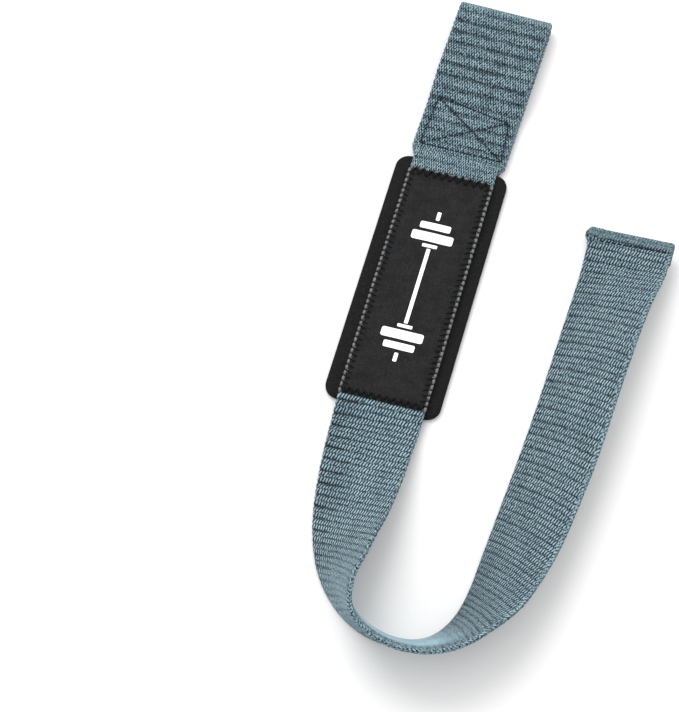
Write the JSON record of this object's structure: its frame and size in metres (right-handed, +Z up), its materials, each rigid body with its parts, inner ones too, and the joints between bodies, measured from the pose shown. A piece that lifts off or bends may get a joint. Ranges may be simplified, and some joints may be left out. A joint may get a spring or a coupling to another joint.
{
  "type": "weightlifting strap",
  "caption": "Flat wrist strap of woven webbing with an end loop, a cushioned wrist pad, a sewn patch and a long free tail with a folded hem.",
  "frame": {"origin": "middle of the wrist pad's underside, on the surface that the strap lies on", "axes": "+Y along the pad from the tail towards the loop, +Z up out of the pad, +X across the pad towards the tail's returning leg"},
  "size_m": [0.1294, 0.3329, 0.0347],
  "materials": {
    "webbing": "dusty blue cotton webbing, ribbed across, matt",
    "pad": "matt black neoprene with cloth faces",
    "patch": "near-black coated cloth with a faint grain"
  },
  "bodies": {
    "root": {"webbing": "webbing", "pad": "pad", "patch": "patch"}
  },
  "joints": []
}
